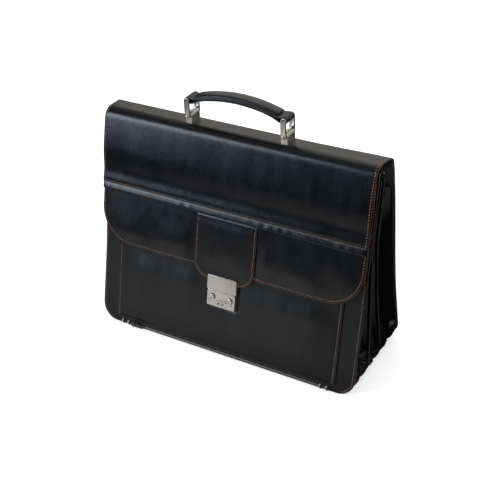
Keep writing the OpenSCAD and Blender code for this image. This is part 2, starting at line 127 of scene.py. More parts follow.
def make(name, verts, faces, materials, ids=None, smooth=True):
    me = bpy.data.meshes.new(name)
    me.from_pydata([tuple(v) for v in verts], [], faces)
    for m in materials:
        me.materials.append(m)
    if ids:
        me.polygons.foreach_set("material_index", ids)
    bm = bmesh.new()
    bm.from_mesh(me)
    bmesh.ops.recalc_face_normals(bm, faces=bm.faces)
    bm.to_mesh(me)
    bm.free()
    me.polygons.foreach_set("use_smooth", [smooth and len(f.vertices) <= 4 for f in me.polygons])
    me.update()
    return linked(name, me)


def tube(base, n, count):
    """Faces of count rings of n points from index base: the sides, then the first and the last ring."""
    starts = [base + i * n for i in range(count)]
    sides = [(a + j, a + (j + 1) % n, b + (j + 1) % n, b + j) for a, b in zip(starts, starts[1:]) for j in range(n)]
    return sides + [tuple(range(a, a + n)) for a in (starts[0], starts[-1])]


def loft(name, rings, materials, ids=None, caps=(True, True)):
    """A closed tube through rings of the same number of points. ids gives the material of each ring segment."""
    n = len(rings[0])
    ids = ids or [0] * n
    *sides, first, last = tube(0, n, len(rings))
    ends = [ring for ring, wanted in zip((first, last), caps) if wanted]
    marks = ids * (len(rings) - 1) + [ids[0]] * len(ends)
    return make(name, [p for r in rings for p in r], sides + ends, materials, marks)


def joined(name, obs):
    """The objects' meshes as one object."""
    with bpy.context.temp_override(active_object=obs[0], selected_editable_objects=obs, selected_objects=obs):
        bpy.ops.object.join()
    obs[0].name = name
    obs[0].data.name = name
    return obs[0]


def edge_profile(face, rear, border=14.0):
    """Points (inset, height) round a leather sheet's edge, from its rear face to its front face."""
    t = face - rear
    return [(border, rear), (5, rear), (1.2, rear), (0.35, rear + 0.16 * t), (0.05, rear + 0.38 * t),
            (0, rear + 0.58 * t), (0.2, rear + 0.82 * t), (0.7, face - 0.05 * t), (1.4, face),
            (2.2, face - 0.02), (3, face - 0.22), (3.8, face - 0.02), (5.5, face), (9, face), (border, face)]


def panel(name, half, low, high, r, place, profile, mats, bulge=None, columns=60, row_h=6.0, hole=()):
    """A leather sheet with two round lower corners: a border that follows the outline and a grid inside it.

    profile runs round the edge; bulge(x, v) is added to the height; hole is a window (x1, x2, v1, v2) in the grid."""
    border = profile[0][0]
    side = max(2, round((high - low - r) / row_h))
    vs = [high - (high - low - r) * i / side for i in range(side + 1)]
    xs = [-(half - r) + 2 * (half - r) * i / columns for i in range(columns + 1)]
    for values, edges in ((vs, hole[2:]), (xs, hole[:2])):
        for q in edges:
            values[min(range(1, len(values) - 1), key=lambda i: abs(values[i] - q))] = q
    hole_rows = [i for i, v in enumerate(vs) if hole and hole[2] <= v <= hole[3]]
    hole_columns = [c for c, x in enumerate(xs) if hole and hole[0] <= x <= hole[1]]

    # Stations along the outline: a point, the inward direction and the corner's radius
    turns = max(3, round(r / 3))
    angles = [pi / 2 * i / turns for i in range(turns + 1)]
    left = [(-half, v, 1.0, 0.0, 0.0) for v in vs[:-1]]
    left += [(-half + r, low + r, cos(a), sin(a), r) for a in angles]
    outline = left + [(x, low, 0.0, 1.0, 0.0) for x in xs[1:-1]]
    outline += [(-x, v, -nx, nv, rr) for x, v, nx, nv, rr in reversed(left)]

    def at(station, e):
        x, v, nx, nv, rr = station
        return (x - nx * (rr - e), v - nv * (rr - e)) if rr else (x + nx * e, v + nv * e)

    def point(x, v, w):
        return place(x, v, w + (bulge(x, v) if bulge else 0))

    n, total, rows = len(profile), len(outline), len(left)
    verts = [point(*at(station, e), w) for station in outline for e, w in profile]
    faces = [(k * n + j, k * n + j + 1, (k + 1) * n + j + 1, (k + 1) * n + j)
             for k in range(total - 1) for j in range(n - 1)]
    ids = [2 if j < 2 else 1 if j < 7 else 0 for j in range(n - 1)] * (total - 1)
    grids = {}
    for side_id, j, w in ((2, 0, profile[0][1]), (0, n - 1, profile[-1][1])):
        grid = grids[side_id] = []
        for i in range(rows):
            lx, lv = at(outline[i], border)
            line = [i * n + j]
            for c in range(1, columns):
                if i == rows - 1:
                    line.append((rows - 1 + c) * n + j)
                    continue
                at_hole = c in hole_columns[:1] + hole_columns[-1:]
                x = xs[c] if at_hole else lx * (1 - 2 * (xs[c] - xs[0]) / (xs[-1] - xs[0]))
                line.append(len(verts))
                verts.append(point(x, lv, w))
            grid.append(line + [(total - 1 - i) * n + j])
        for i in range(rows - 1):
            for c in range(columns):
                if i not in hole_rows[:-1] or c not in hole_columns[:-1]:
                    faces.append((grid[i][c], grid[i][c + 1], grid[i + 1][c + 1], grid[i + 1][c]))
                    ids.append(side_id)
    face, rear = grids[0], grids[2]
    rims = [((0, c), (0, c + 1)) for c in range(columns)]
    if hole:
        top, bottom, near, far = hole_rows[0], hole_rows[-1], hole_columns[0], hole_columns[-1]
        loop = ([(top, c) for c in hole_columns] + [(i, far) for i in hole_rows[1:]]
                + [(bottom, c) for c in hole_columns[-2::-1]] + [(i, near) for i in hole_rows[-2:0:-1]])
        rims = list(zip(loop, loop[1:] + loop[:1])) + rims
    faces += [(face[i][c], face[i2][c2], rear[i2][c2], rear[i][c]) for (i, c), (i2, c2) in rims]
    faces += [tuple(range(n)), tuple(range((total - 1) * n, total * n))]
    return make(name, verts, faces, mats, ids + [1] * (len(rims) + 2))


def strip(name, half, spine, profile, mats, bulge=None, columns=60, caps=(True, True)):
    """A leather strip with straight sides whose rows follow spine, a list of (u, place(x, w))."""
    left = [(-half + e, w) for e, w in reversed(profile)]
    right = [(half - e, w) for e, w in profile]
    border = profile[0][0]
    rear, face = profile[0][1], profile[-1][1]
    inner = [-half + border + 2 * (half - border) * i / columns for i in range(1, columns)]
    ring = right + [(x, face) for x in reversed(inner)] + left + [(x, rear) for x in inner]
    n_p = len(profile)
    kinds = [2 if j < 2 else 1 if j < 7 else 0 for j in range(n_p - 1)]
    ids = kinds + [0] * columns + kinds[::-1] + [2] * columns
    rings = [[place(x, w + (bulge(x, u) if bulge else 0)) for x, w in ring] for u, place in spine]
    return loft(name, rings, mats, ids, caps)


def sweep(name, path, width, thickness, place, mats, x0=0.0, edge=0.35, segments=6):
    """A strap of that width across x whose middle line follows path, a list of points (a, b); place maps (x, a, b)."""
    rings, last = [], len(path) - 1
    for i, (a, b) in enumerate(path):
        a0, b0 = path[max(i - 1, 0)]
        a1, b1 = path[min(i + 1, last)]
        d = hypot(a1 - a0, b1 - b0)
        na, nb = -(b1 - b0) / d, (a1 - a0) / d
        h, t = width / 2, thickness / 2
        flat = [(-h + edge + (2 * h - 2 * edge) * q / segments, t) for q in range(segments + 1)]
        soft = edge * 0.3
        half_ring = flat + [(h - soft, t - soft), (h, t - edge), (h, -t + edge), (h - soft, -t + soft)]
        ring = half_ring + [(-q, -w) for q, w in half_ring]
        rings.append([place(x0 + x, a + na * w, b + nb * w) for x, w in ring])
    ids = [0] * segments + [1] * 5 + [0] * segments + [1] * 5
    return loft(name, rings, mats, ids)


def arc(ca, cb, r, a0, a1, n):
    return [(ca + r * cos(radians(a0 + (a1 - a0) * i / n)),
             cb + r * sin(radians(a0 + (a1 - a0) * i / n))) for i in range(n + 1)]


def rounded(half, low, high, r, n=6):
    """A rectangle's outline with round corners."""
    pts = []
    for cx, cy, a in ((half - r, low + r, -90), (half - r, high - r, 0), (-half + r, high - r, 90),
                      (-half + r, low + r, 180)):
        pts += arc(cx, cy, r, a, a + 90, n)
    return pts


def circle(cx, cy, r, n=40):
    return arc(cx, cy, r, 0, 360, n)[:-1]


def plate(name, outlines, z1, z2, bevel, matrix, mats):
    """A plate with eased edges from outlines in millimetres, the later ones being holes."""
    cu = bpy.data.curves.new(name, "CURVE")
    cu.dimensions, cu.fill_mode = "2D", "BOTH"
    cu.extrude = ((z2 - z1) / 2 - bevel) * MM
    cu.bevel_depth, cu.bevel_resolution, cu.offset = bevel * MM, 2, -bevel * MM
    for pts in outlines:
        sp = cu.splines.new("POLY")
        sp.points.add(len(pts) - 1)
        for p, (x, y) in zip(sp.points, pts):
            p.co = (x * MM, y * MM, 0, 1)
        sp.use_cyclic_u = True
    tmp = linked(name + "_tmp", cu)
    bpy.context.view_layer.update()
    me = bpy.data.meshes.new_from_object(tmp.evaluated_get(bpy.context.evaluated_depsgraph_get()))
    bpy.data.objects.remove(tmp)
    me.transform(matrix @ Matrix.Translation((0, 0, (z1 + z2) / 2 * MM)))
    me.materials.clear()
    for m in mats:
        me.materials.append(m)
    bm = bmesh.new()
    bm.from_mesh(me)
    bmesh.ops.remove_doubles(bm, verts=bm.verts, dist=1e-6)
    bmesh.ops.recalc_face_normals(bm, faces=bm.faces)
    for e in bm.edges:
        e.smooth = len(e.link_faces) == 2 and e.calc_face_angle(0) < 0.6
    bm.to_mesh(me)
    bm.free()
    me.polygons.foreach_set("use_smooth", [True] * len(me.polygons))
    me.name = name
    return linked(name, me)


def lathe(name, profile, matrix, mats, n=40):
    """A turned piece: profile is (radius, height) in millimetres about the matrix's z."""
    rings = [[matrix @ Vector((r * MM * cos(2 * pi * i / n), r * MM * sin(2 * pi * i / n), h * MM))
              for i in range(n)] for r, h in profile]
    return loft(name, rings, mats)


def stitches(name, path, normals, mats, pitch=3.7, r=0.46, lift=0.12, slant=0.12):
    """Thread along path (points in the row frame, with the surface's normals): short stitches sunk at their ends."""
    lengths = [0.0]
    for a, b in zip(path, path[1:]):
        lengths.append(lengths[-1] + (b - a).length)
    count = int(lengths[-1] / (pitch * MM))
    verts, faces, seg = [], [], 0
    for q in range(count):
        s = (q + 0.5) * lengths[-1] / count
        while lengths[seg + 1] < s:
            seg += 1
        t = (s - lengths[seg]) / (lengths[seg + 1] - lengths[seg])
        p = path[seg].lerp(path[seg + 1], t)
        n = normals[seg].lerp(normals[seg + 1], t).normalized()
        d = (path[seg + 1] - path[seg]).normalized()
        side = d.cross(n).normalized()
        d = (d + side * slant).normalized()
        side = d.cross(n).normalized()
        base = len(verts)
        for along, rad, up in ((-0.46, 0.5, -0.5), (-0.3, 1, 0), (0, 1.1, 0.16), (0.3, 1, 0), (0.46, 0.5, -0.5)):
            c = p + d * (along * pitch * 0.64 * MM) + n * ((lift + up * 0.5) * MM)
            for i in range(6):
                a = pi * i / 3
                verts.append(c + (side * cos(a) + n * sin(a)) * (rad * r * MM))
        faces += tube(base, 6, 5)
    return make(name, verts, faces, mats)


def u_path(half, low, high, r, inset, step=4.0):
    """Points (x, v) along a line inset from a sheet's two sides, lower corners and lower edge."""
    h, lo, rr = half - inset, low + inset, r - inset
    left = [(-h, high - (high - lo - rr) * i / 40) for i in range(41)] + arc(-h + rr, lo + rr, rr, 180, 270, 14)[1:]
    n = max(2, round(2 * (h - rr) / step))
    bottom = [(-h + rr + 2 * (h - rr) * i / n, lo) for i in range(1, n)]
    return left + bottom + [(-x, v) for x, v in reversed(left)]


def riding(ob, body, replaces=()):
    if replaces:
        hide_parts(*replaces)
    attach(ob, body)
    return ob


# ---- materials ----

def feed(nt, target, inputs):
    """Sets each of a node's inputs to a value, or links it to another node's output."""
    for socket, value in inputs.items():
        if isinstance(value, bpy.types.NodeSocket):
            nt.links.new(value, target.inputs[socket])
        else:
            target.inputs[socket].default_value = value


def node(nt, kind, inputs=None, **settings):
    made = nt.nodes.new("ShaderNode" + kind)
    for key, value in settings.items():
        setattr(made, key, value)
    feed(nt, made, inputs or {})
    return made


def nodes_of(name):
    m = bpy.data.materials.new(name)
    m.use_nodes = True
    return m, m.node_tree, m.node_tree.nodes["Principled BSDF"]


def mapped_noise(nt, scale, stretch=(1, 1, 1), detail=3.0, rough=0.55):
    at = node(nt, "Mapping", {"Vector": node(nt, "TexCoord").outputs["Object"], "Scale": stretch})
    return node(nt, "TexNoise", {"Vector": at.outputs["Vector"], "Scale": scale, "Detail": detail,
                                 "Roughness": rough}).outputs["Fac"]


def ramp(nt, fac, lo, hi, a=0.3, b=0.7, between=()):
    """Colours from lo at a to hi at b; between holds further (position, colour) stops."""
    made = node(nt, "ValToRGB", {"Fac": fac})
    stops = made.color_ramp.elements
    for stop, position, colour in zip(stops, (a, b), (lo, hi)):
        stop.position, stop.color = position, (*colour, 1)
    for position, colour in between:
        stops.new(position).color = (*colour, 1)
    return made.outputs["Color"]


def value_range(nt, fac, lo, hi, a=0.3, b=0.7):
    scaled = node(nt, "MapRange", {"Value": fac, "From Min": a, "From Max": b, "To Min": lo, "To Max": hi})
    return scaled.outputs["Result"]


def bumps(nt, bsdf, layers):
    """Chains bump layers (height, distance in millimetres, strength) into the shader's normal."""
    below = {}
    for height, distance, strength in layers:
        bump = node(nt, "Bump", {"Height": height, "Distance": distance * MM, "Strength": strength, **below})
        below = {"Normal": bump.outputs["Normal"]}
    feed(nt, bsdf, below)


def leather(name, dark, light, rough, grain=0.05, crease=0.25, coat=0.0, grain_scale=900):
    m, nt, bsdf = nodes_of(name)
    tone = mapped_noise(nt, 14, (1, 1, 0.6), 4)
    gloss = mapped_noise(nt, 45, (1, 1, 0.5), 4, 0.6)
    cracks = node(nt, "TexVoronoi", {"Vector": node(nt, "TexCoord").outputs["Object"], "Scale": grain_scale},
                  feature="DISTANCE_TO_EDGE")
    cells = value_range(nt, cracks.outputs["Distance"], 0, 1, 0.0, 0.35)
    fine = mapped_noise(nt, 1600, detail=2)
    folds = mapped_noise(nt, 60, (1.2, 1, 0.45), 3, 0.5)
    bumps(nt, bsdf, [(folds, crease, 0.5), (cells, grain, 0.6), (fine, grain * 0.6, 0.5)])
    feed(nt, bsdf, {"Base Color": ramp(nt, tone, dark, light), "Roughness": value_range(nt, gloss, *rough),
                    "Coat Weight": coat, "Coat Roughness": 0.22})
    return m


def metal(name, lo, hi, rough, streak=(2600, 90, 90), depth=0.012):
    m, nt, bsdf = nodes_of(name)
    lines = mapped_noise(nt, 1.0, streak, 4, 0.7)
    stain = mapped_noise(nt, 160, detail=3)
    bumps(nt, bsdf, [(lines, depth, 0.6), (stain, 0.004, 0.4)])
    feed(nt, bsdf, {"Metallic": 1.0, "Base Color": ramp(nt, lines, lo, hi),
                    "Roughness": value_range(nt, stain, *rough)})
    return m


def cloth(name, dark, light, pitch=0.7):
    """A plain weave of that pitch in millimetres."""
    m, nt, bsdf = nodes_of(name)
    at = node(nt, "TexCoord").outputs["Object"]
    warp, weft = (node(nt, "TexWave", {"Vector": at, "Scale": 1000 / pitch / 6.5, "Distortion": 0.6},
                       bands_direction=axis).outputs["Fac"] for axis in ("X", "Z"))
    weave = node(nt, "Math", {0: warp, 1: weft}, operation="MULTIPLY").outputs[0]
    bumps(nt, bsdf, [(weave, 0.12, 0.7)])
    feed(nt, bsdf, {"Base Color": ramp(nt, weave, dark, light, 0.0, 0.8), "Roughness": 0.85, "Sheen Weight": 0.3})
    return m


def thread(name, dark, light):
    m, nt, bsdf = nodes_of(name)
    twist = mapped_noise(nt, 420)
    bumps(nt, bsdf, [(twist, 0.08, 0.8)])
    feed(nt, bsdf, {"Base Color": ramp(nt, twist, dark, light), "Roughness": 0.6, "Sheen Weight": 0.2})
    return m


def fibre(name, dark, light):
    m, nt, bsdf = nodes_of(name)
    flecks = mapped_noise(nt, 500, (1, 0.2, 1), 4)
    bumps(nt, bsdf, [(flecks, 0.05, 0.5)])
    feed(nt, bsdf, {"Base Color": ramp(nt, flecks, dark, light), "Roughness": 0.9})
    return m


M_FLAP = leather("flap_leather", (0.0006, 0.0009, 0.0018), (0.0018, 0.0024, 0.0042), (0.23, 0.31), coat=0.1)
M_FRONT = leather("front_leather", (0.0012, 0.0012, 0.0013), (0.0026, 0.0026, 0.0026), (0.32, 0.42), crease=0.16)
M_BACK = leather("back_leather", (0.0010, 0.0012, 0.0018), (0.0026, 0.0028, 0.0036), (0.26, 0.36), crease=0.3)
M_GUSSET = leather("gusset_leather", (0.0005, 0.0005, 0.0006), (0.0014, 0.0014, 0.0015), (0.13, 0.24), crease=0.6,
                   coat=0.2, grain=0.03)
M_DIVIDER = leather("divider_leather", (0.0006, 0.0006, 0.0007), (0.0016, 0.0016, 0.0018), (0.28, 0.40))
M_GRIP = leather("grip_leather", (0.0035, 0.0033, 0.0030), (0.009, 0.0085, 0.0078), (0.30, 0.42), grain=0.03,
                 crease=0.1, coat=0.15)
M_STRAP = leather("strap_leather", (0.006, 0.0057, 0.0052), (0.014, 0.0132, 0.012), (0.36, 0.48), grain=0.03,
                  crease=0.08)
M_EDGE = leather("edge_paint", (0.030, 0.019, 0.014), (0.095, 0.062, 0.044), (0.30, 0.45), grain=0.02,
                 crease=0.05, grain_scale=500)
M_DARK_EDGE = leather("dark_edge_paint", (0.012, 0.012, 0.014), (0.05, 0.048, 0.05), (0.2, 0.32), grain=0.02,
                      crease=0.05)
M_LINING = cloth("lining_cloth", (0.003, 0.0028, 0.0027), (0.008, 0.0075, 0.0072))
M_TAPE = cloth("zip_tape_cloth", (0.004, 0.004, 0.004), (0.016, 0.016, 0.016), 0.5)
M_THREAD = thread("rust_thread", (0.16, 0.07, 0.038), (0.47, 0.255, 0.16))
M_NICKEL = metal("brushed_nickel", (0.60, 0.56, 0.515), (0.82, 0.78, 0.73), (0.26, 0.40))
M_ARM = metal("satin_nickel", (0.64, 0.60, 0.56), (0.80, 0.77, 0.73), (0.24, 0.36), (300, 300, 1200), 0.006)
M_BRIGHT = metal("bright_nickel", (0.74, 0.72, 0.69), (0.84, 0.82, 0.79), (0.12, 0.22), (300, 300, 300), 0.002)
M_ZIP = metal("zip_metal", (0.55, 0.52, 0.47), (0.75, 0.72, 0.66), (0.2, 0.34), (400, 400, 400), 0.004)
M_DARK_METAL = metal("dark_zip_metal", (0.10, 0.10, 0.105), (0.16, 0.155, 0.155), (0.3, 0.42), (400, 400, 400), 0.004)
M_STEEL = metal("plain_steel", (0.40, 0.40, 0.41), (0.52, 0.52, 0.53), (0.3, 0.45), (500, 500, 500), 0.004)
M_BOARD = fibre("fibre_board", (0.16, 0.11, 0.07), (0.32, 0.24, 0.16))

SHEET = (M_FLAP, M_EDGE, M_LINING)
SMOOTH = "smooth_black_leather"


# ---- front: panel, pocket, binding ----

riding(panel("front_panel_leather", HALF_W, PANEL_LOW, PANEL_TOP, PANEL_R, slack_front, edge_profile(0.0, -PANEL_T),
             (M_FRONT, M_DARK_EDGE, M_LINING)), "case", ["front_panel"])

POCKET_FACE = 3.5
LOCK_WINDOW = (-21.9, 21.9, 75.9, 118.9)


def pocket_puff(x, v):
    """The padded middle swells below the flap, most towards its lower half, and has long upright waves."""
    inside = fade(0, 45, SEAM_X - abs(x)) * fade(7, 40, v) * (1 - fade(92, 128, v))
    near_lock = 1 - 0.75 * exp(-((x / 42) ** 2 + ((v - 100) / 34) ** 2) ** 1.5)
    swell = 3.0 + 1.1 * wave(x / 30, v / 150, 1.7) + 0.45 * wave(x / 12, v / 60, 8.1)
    return inside * near_lock * swell


pocket_profile = [(9, 0.3), (5, 0.3), (1.2, 0.3), (0.4, 0.7), (0.1, 1.3), (0.0, 1.9), (0.3, 2.5), (0.9, 2.85),
                  (1.7, 3.0), (2.4, 2.95), (3.1, 2.75), (3.9, 3.05), (5, 3.3), (7, 3.45), (9, POCKET_FACE)]
riding(panel("front_pocket_leather", SEAM_X, 9.4, 272, 5, slack_front, pocket_profile,
             (M_FRONT, M_DARK_EDGE, M_LINING), pocket_puff, 84, 4.0, LOCK_WINDOW), "case",
       ["front_pocket_panel"])

binding = [(PANEL_TOP - 11 + 2 * i, 0.65) for i in range(6)] + arc(PANEL_TOP, -1.5, 2.15, 90, -90, 8)
binding += [(PANEL_TOP - 1 - 2 * i, -3.65) for i in range(6)]
riding(sweep("front_top_binding_leather", binding, 388, 0.9, front, (M_FRONT, M_DARK_EDGE), segments=40), "case",
       ["front_top_binding"])

NORMAL_F = Vector((0, -CS, SN))
NORMAL_B = Vector((0, CS, SN))


def row(name, pts, place, height, normal, body, pitch=3.7, r=0.46):
    """A row of stitches on a face, through points (x, v), at height(x, v)."""
    path = [place(x, v, height(x, v)) for x, v in pts]
    ob = stitches(name, path, [normal] * len(path), [M_THREAD], pitch, r)
    return riding(ob, body)


def straight(x0, v0, x1, v1, n=60):
    return [(x0 + (x1 - x0) * i / n, v0 + (v1 - v0) * i / n) for i in range(n + 1)]


for s, label in ((-1, "left"), (1, "right")):
    row(f"pocket_seam_thread_{label}", straight(s * 169.8, 14, s * 169.8, 268), slack_front,
        lambda x, v: 2.75 + pocket_puff(x, v), NORMAL_F, "case")
    pts = [(s * abs(x), v) for x, v in u_path(HALF_W, PANEL_LOW, PANEL_TOP - 14, PANEL_R, SEW_INSET)[:53]]
    row(f"front_edge_thread_{label}", pts, slack_front, lambda x, v: -0.2, NORMAL_F, "case")
row("binding_thread", straight(-190, PANEL_TOP - 8.5, 190, PANEL_TOP - 8.5), front, lambda x, v: 1.12, NORMAL_F,
    "case")

# ---- back ----


def back_bow(x, v):
    inside = fade(0, 60, HALF_W - abs(x)) * fade(0, 60, v) * (1 - fade(230, 280, v))
    return (1.2 + 1.0 * wave(x / 70, v / 90, 2.2)) * inside


riding(panel("back_panel_leather", HALF_W, PANEL_LOW, PANEL_TOP, PANEL_R, slack_back, edge_profile(0.0, -PANEL_T),
             (M_BACK, M_DARK_EDGE, M_LINING), back_bow), "case", ["back_panel"])
row("back_edge_thread", u_path(HALF_W, PANEL_LOW, 282, PANEL_R, SEW_INSET), slack_back,
    lambda x, v: -0.2 + back_bow(x, v), NORMAL_B, "case")

# ---- dividers ----

DIVIDER_H = 288
FRONT_LINE = ((0, -24), (200, -24), (DIVIDER_H, -5))
REAR_LINE = ((0, 17), (110, -2), (200, -9), (DIVIDER_H, 4))


def depth(line, z):
    for (z1, y1), (z2, y2) in zip(line, line[1:]):
        if z <= z2:
            return y1 + (y2 - y1) * (z - z1) / (z2 - z1)
    return line[-1][1]


def soft_depth(line, z):
    """The divider's line with its bends eased."""
    return sum(depth(line, min(DIVIDER_H, max(0, z + d))) * 0.2 for d in (-14, -7, 0, 7, 14))


def divider_wave(x, z, seed):
    return 0.55 * wave(x / 80, z / 60, seed) * fade(0, 30, z) * fade(4, 40, HALF_W - abs(x))


for name, line, seed in (("divider_front", FRONT_LINE, 3.3), ("divider_rear", REAR_LINE, 6.6)):
    def put(x, z, w, line=line, seed=seed):
        return mm(x, soft_depth(line, z) - w + divider_wave(x, z, seed), z)
    riding(panel(name + "_leather", HALF_W, 0, DIVIDER_H, PANEL_R, put, edge_profile(1.0, -1.0),
                 (M_DIVIDER, M_DARK_EDGE, M_DIVIDER), None, 50), "case", [name])

# ---- gussets ----

RUN_HALF, RUN_LOW, RUN_R = HALF_W - 1, 1.2, 23.0


def front_inner(z):
    return FRONT_Y + z * TN + PANEL_T / CS


def back_inner(z):
    return 2 * MID_Y - front_inner(z)


def gusset_run():
    """Stations down the left side, along the bottom and up the right side: x, z and the inward direction."""
    left, z = [], 268.0
    while z > RUN_LOW + RUN_R + 0.1:
        left.append((-RUN_HALF, z, 1.0, 0.0))
        z -= 4.0 if z > 60 else 2.5
    for i in range(13):
        c, s = cos(radians(180 + 90 * i / 12)), sin(radians(180 + 90 * i / 12))
        left.append((-RUN_HALF + RUN_R * (1 + c), RUN_LOW + RUN_R * (1 + s), -c, -s))
    bottom = [((-RUN_HALF + RUN_R) * (1 - i / 22), RUN_LOW, 0.0, 1.0) for i in range(1, 44)]
    return left + bottom + [(-x, z, -nx, nz) for x, z, nx, nz in reversed(left)]


RUN = gusset_run()
WING = 12
FOLD = 14.0


def gusset(name, near, far, seed):
    """One V-folded skin between two walls, near(z) and far(z), crumpled at the lower corners."""
    width = hypot((far(0) - near(0)) / 2, FOLD)
    rings = []
    for x, z, nx, nz in RUN:
        a, b = near(z) + 0.25, far(z) - 0.25
        half, mid = (b - a) / 2, (a + b) / 2
        deep = sqrt(max(width * width - half * half, 1.0)) * (0.12 + 0.88 * fade(10, 85, z))
        s = 1 if x > 0 else -1
        corner = exp(-((z - 30) / 24) ** 2) * fade(140, 185, abs(x))
        outer, inner = [], []
        for i in range(2 * WING + 1):
            t = i / WING - 1
            ease = sqrt(t * t + 0.006) - 0.077
            belly = sin(pi * min(1, abs(t)))
            fold = wave(t * 1.5 + seed, z / 34 + 7 * s, seed) * 1.9 + wave(t * 3 + seed, z / 11, seed + 5 * s) * 0.7
            crumple = 1 - 2.4 * abs(wave(t * 1.1 + z / 21, t * 0.9 - z / 17 + seed, seed + 3 * s))
            fold -= corner * 4.2 * crumple
            q = deep * (1 - ease) + belly * (fold - 0.9)
            if abs(x) < RUN_HALF - RUN_R - 1:
                q = deep * (1 - ease) + belly * 0.6 * wave(x / 25, t * 2, seed)
            q = max(0.4 - 3.2 * corner * belly, q)
            y = mid + t * half
            shift = 0.6 * belly * wave(z / 19, t * 2, seed + 9)
            outer.append((q, y + shift))
            inner.append((q + 1.1, y + shift + (0.35 if t < 0 else -0.35) * (1 - abs(t))))
        ring = outer + inner[::-1]
        rings.append([pulled(mm(x + nx * q, y, z + nz * q)) for q, y in ring])
    n = 2 * WING + 1
    ids = [0] * (n - 1) + [1] + [2] * (n - 1) + [1]
    return loft(name, rings, (M_GUSSET, M_DARK_EDGE, M_LINING), ids)


for label, near, far, seed in (
        ("front", front_inner, lambda z: soft_depth(FRONT_LINE, z) - 1, 1.3),
        ("middle", lambda z: soft_depth(FRONT_LINE, z) + 1, lambda z: soft_depth(REAR_LINE, z) - 1, 4.1),
        ("rear", lambda z: soft_depth(REAR_LINE, z) + 1, back_inner, 8.7)):
    riding(gusset(f"gusset_{label}_leather", near, far, seed), "case",
           [f"gusset_{label}_{q}" for q in ("left", "base", "right")])

# ---- flap ----

FRONT_BEND_R, REAR_BEND_R = 14.0, 6.0
REAR_FACE = 2.3
OVERLAP_LOW = 285.8
TURN = pi / 2 - LEAN
front_meet = (TOP_Z - FLAP_FACE * SN) / CS
rear_meet = (TOP_Z - REAR_FACE * SN) / CS
front_end = front_meet - FRONT_BEND_R * tan(TURN / 2)
rear_end = rear_meet - REAR_BEND_R * tan(TURN / 2)
TOP_FRONT_Y = front(0, front_meet, FLAP_FACE).y / MM + FRONT_BEND_R * tan(TURN / 2)
TOP_REAR_Y = back(0, rear_meet, REAR_FACE).y / MM - REAR_BEND_R * tan(TURN / 2)
TOP_MID_Y = 2.0


def face_station(v):
    return v, lambda x, w: front(x, v, FLAP_FACE + w)


def top_station(y, u):
    return u, lambda x, w: pulled(mm(x, y, TOP_Z + w))


def bend_station(cy, cz, r, a, u):
    """a is the outward direction's angle above -Y for the front bend, measured through +Z."""
    return u, lambda x, w: pulled(mm(x, cy - (r + w) * cos(a), cz + (r + w) * sin(a)))


def upper_spine():
    """Up the front from the joint, over the bend to the middle of the top; u is the length along it."""
    out = [face_station(JOINT_V + 0.3 + (front_end - JOINT_V - 0.3) * i / 26) for i in range(27)]
    cy, cz, u = TOP_FRONT_Y, TOP_Z - FRONT_BEND_R, front_end
    out += [bend_station(cy, cz, FRONT_BEND_R, LEAN + TURN * i / 12, u + FRONT_BEND_R * TURN * i / 12)
            for i in range(1, 12)]
    u += FRONT_BEND_R * TURN
    steps = [(TOP_MID_Y - TOP_FRONT_Y) * i / 6 for i in range(7)]
    return out + [top_station(TOP_FRONT_Y + d, u + d) for d in steps]


def rear_spine():
    """From the middle of the top over the ridge and down the back; u only numbers the stations."""
    out = [top_station(TOP_MID_Y + (TOP_REAR_Y - TOP_MID_Y) * i / 6, 340 + i) for i in range(7)]
    cy, cz = TOP_REAR_Y, TOP_Z - REAR_BEND_R
    out += [bend_station(cy, cz, REAR_BEND_R, pi / 2 + TURN * i / 8, 350 + i) for i in range(1, 8)]
    for i in range(9):
        v = rear_end + (OVERLAP_LOW - rear_end) * i / 8
        out.append((360 + i, lambda x, w, v=v: slack_back(x, v, REAR_FACE + w)))
    return out


def upper_bulge(x, u):
    """Long upright waves and a slight crown; the leather runs out over the fold band at its foot."""
    q = max(0.0, (u - 246) / 68)
    body = fade(212, 264, u) * (1 - q * q if q < 0.9 else 1.9 * max(0.0, 1 - q))
    waves = 3.1 + 0.75 * wave(x / 38, u / 190, 3.1) + 0.28 * wave(x / 13, u / 90, 7.7)
    ramp_out = 2.2 * (1 - fade(214, 233, u)) * fade(211.5, 215.2, u)
    return body * waves + ramp_out + 0.12 * wave(x / 9, u / 14, 5.5) * (1 - fade(210, 240, u))


FLAP_PROFILE = edge_profile(0.0, -FLAP_T)
upper = strip("flap_upper_leather", FLAP_HALF, upper_spine(), FLAP_PROFILE, SHEET, upper_bulge, 90, (True, False))
rear = strip("flap_rear_leather", FLAP_HALF, rear_spine(), FLAP_PROFILE, SHEET, None, 90, (False, True))


def over_front_bend(ob, slot):
    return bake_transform(ob)


def over_rear_bend(ob, slot):
    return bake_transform(ob)


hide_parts("flap_upper_panel", "flap_top_strip")
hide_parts("rear_flap_overlap")
over_front_bend(upper, SMOOTH)
over_rear_bend(rear, SMOOTH)


def lower_bulge(x, v):
    edge = (0.45 + 0.55 * fade(0, 30, FLAP_HALF - abs(x))) * (0.7 + 0.3 * fade(127, 150, v))
    out = edge * (2.4 + 1.1 * wave(x / 45, v / 50, 9.4) + 0.35 * wave(x / 15, v / 34, 2.9))
    tab = fade(0, 16, 62 - abs(x))
    return out * (1 - tab) * (1 - fade(150, 203, v)) - 0.5 * fade(192, 206, v)


riding(panel("flap_lower_leather", FLAP_HALF, FLAP_LOW, JOINT_V - 0.1, FLAP_R, front,
             edge_profile(FLAP_FACE, FLAP_FACE - FLAP_T), SHEET, lower_bulge, 84, 4.0), "flap_front",
       ["flap_lower_panel"])
row("flap_lower_thread", u_path(FLAP_HALF, FLAP_LOW, JOINT_V - 4.5, FLAP_R, SEW_INSET), front,
    lambda x, v: FLAP_FACE - 0.15 + lower_bulge(x, v), NORMAL_F, "flap_front")

